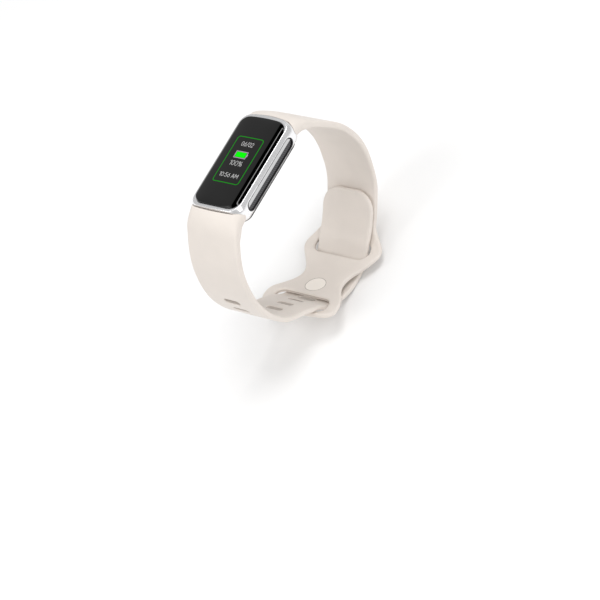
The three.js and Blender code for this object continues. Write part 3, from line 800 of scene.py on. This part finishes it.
def case_surface(p, q, n=0.0):
    z = case_height(p, q)
    x, y = around(p, *level_at(z))
    step = 0.02
    ax, ay = around(p + step, *level_at(z))
    bx, by = around(p - step, *level_at(z))
    out = np.stack([ay - by, bx - ax], 1)
    out /= np.linalg.norm(out, axis=1)[:, None] + 1e-12
    return np.stack([x + out[:, 0] * n, y + out[:, 1] * n, z], 1)


def case_piece():
    cols = np.arange(0, PERIMETER, 0.55)
    cols = np.append(cols, PERIMETER)
    rows = np.linspace(0, CASE_SPAN, 17)
    border = np.concatenate([
        np.stack([cols, np.zeros_like(cols)], 1)[:-1],
        np.stack([np.full_like(rows, PERIMETER), rows], 1)[:-1],
        np.stack([cols, np.full_like(cols, CASE_SPAN)], 1)[::-1][:-1],
        np.stack([np.zeros_like(rows), rows], 1)[::-1][:-1]])
    right = END_HALF + ARC + SIDE_HALF
    left = right + PERIMETER / 2
    level = ELECTRODE["z"] - CASE_LOW
    loops = [(border, (0,), 0.0)]
    for centre in (right, left):
        ring = pill(2 * ELECTRODE["half"] + 0.4, ELECTRODE["high"] + 0.4, centre, level, 12,
                    0.5)
        loops.append((ring[::-1], HOLE_STEPS, 0.22))
    pts, share, radius, faces, rims = plan_sheet(loops, 0.5)
    drop = radius * rounded_drop(share)
    verts = [case_surface(pts[:, 0], pts[:, 1], -drop)]
    count = len(pts)
    faces = list(faces)
    for rim in rims[1:]:
        wall = verts[0][rim].copy()
        wall[:, 0] = np.sign(wall[:, 0]) * 10.2
        verts.append(wall)
        size = len(rim)
        for i in range(size):
            k = (i + 1) % size
            faces.append((count + i, count + k, int(rim[k]), int(rim[i])))
        count += size
    rim_edge = case_surface(cols, np.full_like(cols, CASE_SPAN))
    lip_x, lip_y = around(cols, *[np.full_like(cols, v) for v in
                                      (GLASS["hx"] + 0.06, GLASS["hy"] + 0.06, 4.06)])
    height = rim_height(rim_edge[:, 0])
    rings = [rim_edge]
    for t, sink in ((0.12, 0.045), (0.35, 0.0), (0.65, 0.0), (0.88, 0.045), (1.0, 0.12)):
        rings.append(np.stack([rim_edge[:, 0] * (1 - t) + lip_x * t,
                               rim_edge[:, 1] * (1 - t) + lip_y * t, height - sink], 1))
    rings.append(np.stack([lip_x, lip_y, np.full_like(lip_x, 9.6)], 1))
    base_edge = case_surface(cols, np.zeros_like(cols))
    low_rings = [base_edge]
    for inset, z in ((0.12, 2.83), (0.35, 2.8), (1.4, 2.8)):
        x, y = around(cols, *[np.full_like(cols, v) for v in
                                  (10.1 - inset, 17.3 - inset, 2.6 - inset)])
        low_rings.append(np.stack([x, y, np.full_like(x, z)], 1))
    for group, flip in ((rings, False), (low_rings, True)):
        for lower_ring, upper_ring in zip(group, group[1:]):
            size = len(cols)
            verts += [lower_ring, upper_ring]
            for i in range(size - 1):
                face = (count + i, count + i + 1, count + size + i + 1, count + size + i)
                faces.append(face[::-1] if flip else face)
            count += 2 * size
    made = mesh_object("case_shell", np.concatenate(verts), faces, SILVER, weld=0.002)
    return sharpen(made, 35)


case = case_piece()
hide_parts("case_frame")


# ---- glass ----------------------------------------------------------------------------
def glass_height(x, y):
    """Height of the crowned glass, falling to its sides and ends."""
    tx = np.clip(np.abs(x) / (GLASS["hx"] + 0.02), 0, 1)
    ty = np.clip(np.abs(y) / (GLASS["hy"] + 0.02), 0, 1)
    across = (GLASS["top"] - GLASS["side"]) * (1 - np.sqrt(1 - tx ** 2.4))
    along = (GLASS["top"] - GLASS["end"]) * (1 - np.sqrt(1 - ty ** 9))
    return GLASS["top"] - (across ** 2.5 + along ** 2.5) ** 0.4


def glass_piece():
    ring = resample(rounded_ring(GLASS["hx"], GLASS["hy"], GLASS["r"], 22), 0.4)
    steps = (0, 0.03, 0.1, 0.22, 0.4, 0.65, 1.0)
    pts, share, radius, faces, rims = plan_sheet([(ring, steps, 0.7)], 0.45)
    soft = 0.3 * (1 - np.sqrt(np.clip(1 - (1 - np.clip(share * 2.2, 0, 1)) ** 2, 0, 1)))
    z = glass_height(pts[:, 0], pts[:, 1]) - soft * (radius > 0)
    top = np.stack([pts[:, 0], bowed(pts[:, 0], pts[:, 1]), z], 1)
    count, size = len(pts), len(ring)
    side = np.stack([ring[:, 0], bowed(ring[:, 0], ring[:, 1]), np.full(size, GLASS["z0"])], 1)
    faces = list(faces)
    for i in range(size):
        k = (i + 1) % size
        faces.append((count + i, count + k, int(rims[0][k]), int(rims[0][i])))
    faces.append(tuple(range(count + size - 1, count - 1, -1)))
    return mesh_object("glass_cover", np.concatenate([top, side]), faces, GLASS_BLACK)


glass = sharpen(glass_piece(), 60)
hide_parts("cover_glass")


# ---- display graphics -----------------------------------------------------------------
def lay_on_glass(name, verts, faces, look, lift=0.012):
    verts = np.asarray(verts, float)
    z = glass_height(verts[:, 0], verts[:, 1]) + lift
    made = mesh_object(name, np.stack([verts[:, 0], verts[:, 1], z], 1), faces, look)
    return made


def ring_band(hx, hy, r, width, cx=0.0, cy=0.0):
    outer = resample(rounded_ring(hx, hy, r, 8), 0.5)
    inner = shift_in(outer, np.full(len(outer), width))
    size = len(outer)
    faces = [(i, (i + 1) % size, size + (i + 1) % size, size + i) for i in range(size)]
    return np.concatenate([outer, inner]) + (cx, cy), faces


def filled(hx, hy, r, cx, cy):
    ring = resample(rounded_ring(hx, hy, r, 5), 0.4)
    return ring + (cx, cy), [tuple(range(len(ring)))]


def sweep(cx, cy, rx, ry, start, stop):
    """Points on an ellipse between two angles in degrees."""
    turn = np.radians(np.linspace(start, stop, 17))
    return [(cx + rx * math.cos(a), cy + ry * math.sin(a)) for a in turn]


# Strokes of a plain round-ended lettering: width, then lines, on a height of 1.
GLYPHS = {
    "0": (0.60, [sweep(0.30, 0.5, 0.30, 0.5, 0, 360)]),
    "1": (0.26, [[(0.0, 0.82), (0.24, 1.0), (0.24, 0.0)]]),
    "2": (0.58, [sweep(0.29, 0.71, 0.28, 0.29, 165, -40) + [(0.02, 0.0), (0.58, 0.0)]]),
    "5": (0.58, [[(0.54, 1.0), (0.12, 1.0), (0.06, 0.56)]
                 + sweep(0.27, 0.33, 0.30, 0.33, 130, -150)]),
    "6": (0.60, [sweep(0.30, 0.32, 0.29, 0.32, 0, 360), [(0.46, 1.0), (0.03, 0.42)]]),
    "/": (0.40, [[(0.0, -0.08), (0.40, 1.08)]]),
    ":": (0.06, [[(0.03, 0.2), (0.03, 0.24)], [(0.03, 0.7), (0.03, 0.74)]]),
    "%": (0.86, [sweep(0.17, 0.76, 0.17, 0.22, 0, 360), sweep(0.69, 0.24, 0.17, 0.22, 0, 360),
                 [(0.16, 0.0), (0.70, 1.0)]]),
    "A": (0.70, [[(0.0, 0.0), (0.35, 1.0), (0.70, 0.0)], [(0.13, 0.34), (0.57, 0.34)]]),
    "M": (0.84, [[(0.0, 0.0), (0.06, 1.0), (0.42, 0.3), (0.78, 1.0), (0.84, 0.0)]]),
}


def stroke(line, half):
    """A flat line of even width with round joints."""
    shapes = []
    for a, b in zip(line, line[1:]):
        side = np.array([a[1] - b[1], b[0] - a[0]])
        side *= half / (np.linalg.norm(side) + 1e-9)
        shapes.append((np.array([a - side, b - side, b + side, a + side]), [(0, 1, 2, 3)]))
    turn = np.radians(np.arange(0, 360, 36))
    dot = half * np.stack([np.cos(turn), np.sin(turn)], 1)
    shapes += [(dot + at, [tuple(range(10))]) for at in line]
    return shapes


def written(name, text, cx, cy, wide, high, weight=0.075):
    """Plain figures on the display, fitted to a width and height."""
    pen, lines = 0.0, []
    for letter in text:
        if letter != " ":
            lines += [np.array(line) + (pen, 0) for line in GLYPHS[letter][1]]
        pen += 0.22 + (GLYPHS[letter][0] if letter != " " else 0.12)
    pen -= 0.22
    scale = np.array([wide / pen, high])
    shapes = []
    for line in lines:
        shapes += stroke((line - (pen / 2, 0.5)) * scale + (cx, cy), weight)
    return lay_on_glass(name, *merge(shapes), LIT_WHITE)


lay_on_glass("display_ring", *ring_band(5.7, 9.35, 1.1, 0.3), LIT_FRAME)
written("display_date", "06/02", 0.05, 6.5, 5.0, 1.6)
written("display_level", "100%", -0.05, -1.3, 5.2, 1.8)
written("display_time", "10:56 AM", -0.1, -6.2, 7.9, 1.55)
lay_on_glass("battery_outline", *ring_band(2.6, 1.42, 0.12, 0.3, -0.15, 2.15), LIT_GREY)
lay_on_glass("battery_level", *filled(2.12, 0.98, 0.06, -0.15, 2.15), LIT_GREEN, 0.03)
lay_on_glass("battery_tip", *filled(0.16, 0.45, 0.06, 2.62, 2.15), LIT_GREY)


# ---- side electrodes ------------------------------------------------------------------
def electrode_x(z):
    """The inlay is creased lengthwise: its upper face leans up and its lower face down."""
    top = ELECTRODE["z"] + ELECTRODE["high"] / 2
    low = ELECTRODE["z"] - ELECTRODE["high"] / 2
    crease = ELECTRODE["crease"]
    upper = 0.3 * np.clip((z - crease) / (top - crease), 0, 1)
    lower = 0.2 * np.clip((crease - z) / (crease - low), 0, 1)
    return ELECTRODE["x1"] - upper - lower


def side_name(side):
    return "right" if side > 0 else "left"


def mirrored(verts, faces, side):
    if side > 0:
        return verts, faces
    return verts * (-1, 1, 1), [tuple(f)[::-1] for f in faces]


def electrode_piece(side):
    ring = pill(2 * ELECTRODE["half"], ELECTRODE["high"], steps=12, pitch=0.5)
    pts, share, radius, faces, rims = plan_sheet([(ring, EDGE_STEPS, 0.16)], 0.3)
    drop = radius * rounded_drop(share)
    height = pts[:, 1] + ELECTRODE["z"]
    top = np.stack([electrode_x(height) - drop, pts[:, 0], height], 1)
    back = np.stack([np.full(len(ring), ELECTRODE["x0"]), ring[:, 0],
                     ring[:, 1] + ELECTRODE["z"]], 1)
    faces, count, size = list(faces), len(pts), len(ring)
    for i in range(size):
        k = (i + 1) % size
        faces.append((count + i, count + k, int(rims[0][k]), int(rims[0][i])))
    faces.append(tuple(range(count + size - 1, count - 1, -1)))
    shape = mirrored(np.concatenate([top, back]), faces, side)
    made = mesh_object("electrode_inlay_" + side_name(side), *shape, POLISHED)
    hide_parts("electrode_" + side_name(side))
    return sharpen(made, 40)


def seal_piece(side):
    """The dark gasket that lines the slot and frames the inlay."""
    outer = pill(2 * ELECTRODE["half"] + 0.36, ELECTRODE["high"] + 0.36, steps=12, pitch=0.5)
    inner = shift_in(outer, np.full(len(outer), 0.3))
    size = len(outer)
    rings = []
    for ring, inset in ((outer, 0.55), (outer, 0.02), (inner, 0.04), (inner, 0.55)):
        height = ring[:, 1] + ELECTRODE["z"]
        face = level_at(np.clip(height, 3, 10))[0] - inset
        rings.append(np.stack([face, ring[:, 0], height], 1))
    faces = [(j * size + i, j * size + (i + 1) % size,
              (j + 1) % 4 * size + (i + 1) % size, (j + 1) % 4 * size + i)
             for j in range(4) for i in range(size)]
    shape = mirrored(np.concatenate(rings), faces, side)
    made = mesh_object("electrode_gasket_" + side_name(side), *shape, RUBBER)
    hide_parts("electrode_seal_" + side_name(side))
    return sharpen(made, 40)


for side in (1, -1):
    electrode_piece(side)
    seal_piece(side)


# ---- back of the case -----------------------------------------------------------------
def back_piece(name, ring, hole_rings, edge, low, rise, top, look, bow):
    """A plate seen from below: rounded outer edge, holes with walls, outline bowed."""
    loops = [(ring, EDGE_STEPS, edge)]
    loops += [(hole[::-1], HOLE_STEPS, 0.12) for hole in hole_rings]
    pts, share, radius, faces, rims = plan_sheet(loops, 0.7)
    curl = rounded_drop(share)
    depth = np.where(radius > 0.2, rise, radius) * (radius > 0)
    flat_y = pts[:, 1]
    far = bowed(pts[:, 0], flat_y) - flat_y
    y = flat_y + far * bow * (flat_y / 17) ** 2
    verts = np.stack([pts[:, 0], y, low + depth * curl], 1)
    faces = [tuple(f)[::-1] for f in faces]
    for rim in rims:
        start, size = len(verts), len(rim)
        wall = verts[rim].copy()
        wall[:, 2] = top
        verts = np.concatenate([verts, wall])
        for i in range(size):
            k = (i + 1) % size
            faces.append((int(rim[i]), int(rim[k]), start + k, start + i))
        if rim is rims[0] and not hole_rings:
            faces.append(tuple(range(start, start + size)))
    return sharpen(mesh_object(name, verts, faces, look), 40)


cover_ring = resample(rounded_ring(9.95, 17.0, 3.0, 18), 0.6)
window_hole = resample(rounded_ring(7.2, 8.2, 2.8, 10), 0.5)
contact_holes = [pill(2.6, 2.6, x, -11.2, 8, 0.3) for x in (-2.6, 2.6)]
back_shell = back_piece("back_shell", cover_ring, [window_hole] + contact_holes, 1.1, 1.4, 1.0,
                        2.6, BLACK, 1)
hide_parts("back_cover")
dome_ring = resample(rounded_ring(7.0, 8.0, 2.7, 14), 0.5)
sensor_dome = back_piece("sensor_dome", dome_ring, [], 1.6, 0.0, 1.3, 2.3, WINDOW, 0)
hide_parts("sensor_window")


# ---- latch springs --------------------------------------------------------------------
SPRING = dict(y=17.9, r=0.85, wire=0.145, z0=4.67, z1=6.13, turns=3)


def coil_piece(end, side):
    """The latch's coil spring, built at its rest length; the real spring shortens as the latch is pressed.
    """
    turn = np.linspace(0, SPRING["turns"] * 2 * math.pi, 36 * SPRING["turns"] + 1)
    c, s, none = np.cos(turn), np.sin(turn), np.zeros_like(turn)
    rise = SPRING["z1"] - SPRING["z0"]
    middle = np.stack([SPRING["r"] * c, SPRING["y"] + SPRING["r"] * s,
                       SPRING["z0"] + rise * turn / turn[-1]], 1)
    radial = np.stack([c, s, none], 1)
    along = np.stack([-SPRING["r"] * s, SPRING["r"] * c, none + rise / turn[-1]], 1)
    along /= np.linalg.norm(along, axis=1)[:, None]
    upward = np.cross(radial, along)
    around_wire = np.radians(np.arange(0, 360, 36))
    verts = np.concatenate([
        middle + SPRING["wire"] * (math.cos(a) * radial + math.sin(a) * upward)
        for a in around_wire]) * (1, side, 1)
    sides, count = len(around_wire), len(turn)
    faces = [(j * count + i, (j + 1) % sides * count + i, (j + 1) % sides * count + i + 1,
              j * count + i + 1) for j in range(sides) for i in range(count - 1)]
    faces.append(tuple(j * count for j in range(sides))[::-1])
    faces.append(tuple(j * count + count - 1 for j in range(sides)))
    if side > 0:
        faces = [f[::-1] for f in faces]
    made = sharpen(mesh_object(end + "_coil", verts, faces, STEEL), 60)
    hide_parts(end + "_latch_spring")
    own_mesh(made)


coil_piece("upper", 1)
coil_piece("lower", -1)

# ---- pieces kept from the CAD ---------------------------------------------------------
KEPT = {
    "display_gasket": RUBBER, "display_panel": WINDOW, "display_flex": AMBER,
    "light_sensor": DIE, "main_board": BOARD, "shield_can": STEEL, "battery": FOIL,
    "motor_can": STEEL, "motor_sleeve": RUBBER, "motor_weight": STEEL,
    "back_gasket": RUBBER, "sensor_board": BOARD, "led_green_1": LENS, "led_green_2": LENS, "led_red": LENS,
    "photodiode_1": DIE, "photodiode_2": DIE, "charge_contact_1": GOLD,
    "charge_contact_2": GOLD, "charge_magnet_1": STEEL, "charge_magnet_2": STEEL,
    "upper_connector": BLACK, "lower_connector": BLACK, "upper_latch": STEEL,
    "lower_latch": STEEL,
}
for node, look in KEPT.items():
    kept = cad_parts[node]
    kept.data.materials.clear()
    kept.data.materials.append(look)
for node in ("upper_latch", "lower_latch"):
    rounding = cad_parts[node].modifiers.new("rounding", "BEVEL")
    rounding.width = 0.00016
    rounding.segments = 3

# ---- camera, floor and light ----------------------------------------------------------
view = bpy.data.cameras.new("camera")
view.lens = CAMERA_LENS
view.sensor_width = 36
view.clip_start, view.clip_end = 0.01, 20
camera = bpy.data.objects.new("camera", view)
bpy.context.scene.collection.objects.link(camera)
camera.location = CAMERA_PLACE
camera.rotation_euler = CAMERA_TURN
bpy.context.scene.camera = camera

lo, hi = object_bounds()
floor_mesh = bpy.data.meshes.new("floor")
size = 6.0
level = lo[2] - 0.0002
floor_mesh.from_pydata([(-size, -size, level), (size, -size, level), (size, size, level),
                        (-size, size, level)], [], [(0, 1, 2, 3)])
floor = bpy.data.objects.new("floor", floor_mesh)
bpy.context.scene.collection.objects.link(floor)
floor_mesh.materials.append(material("floor", (0.93, 0.93, 0.93), 0.8, noise=3, vary=0.004))


def area_light(name, place, target, width, height, power):
    lamp = bpy.data.lights.new(name, "AREA")
    lamp.shape = "RECTANGLE"
    lamp.size, lamp.size_y = width, height
    lamp.energy = power
    holder = bpy.data.objects.new(name, lamp)
    bpy.context.scene.collection.objects.link(holder)
    holder.location = place
    aim_at = Vector(target) - Vector(place)
    holder.rotation_euler = aim_at.to_track_quat("-Z", "Y").to_euler()


area_light("key", (-0.25, -0.55, 0.65), (0, 0, -0.02), 0.5, 0.5, 2.2)
area_light("overhead", (0.1, 0.25, 0.75), (0, 0, -0.02), 0.5, 0.5, 2.95)
area_light("side", (0.62, -0.12, 0.36), (0, 0, -0.05), 0.35, 0.35, 1.1)
world = bpy.data.worlds.new("studio")
world.use_nodes = True
world.node_tree.nodes["Background"].inputs["Color"].default_value = (1, 1, 1, 1)
world.node_tree.nodes["Background"].inputs["Strength"].default_value = 0.565
bpy.context.scene.world = world
bpy.context.scene.view_settings.view_transform = "Standard"
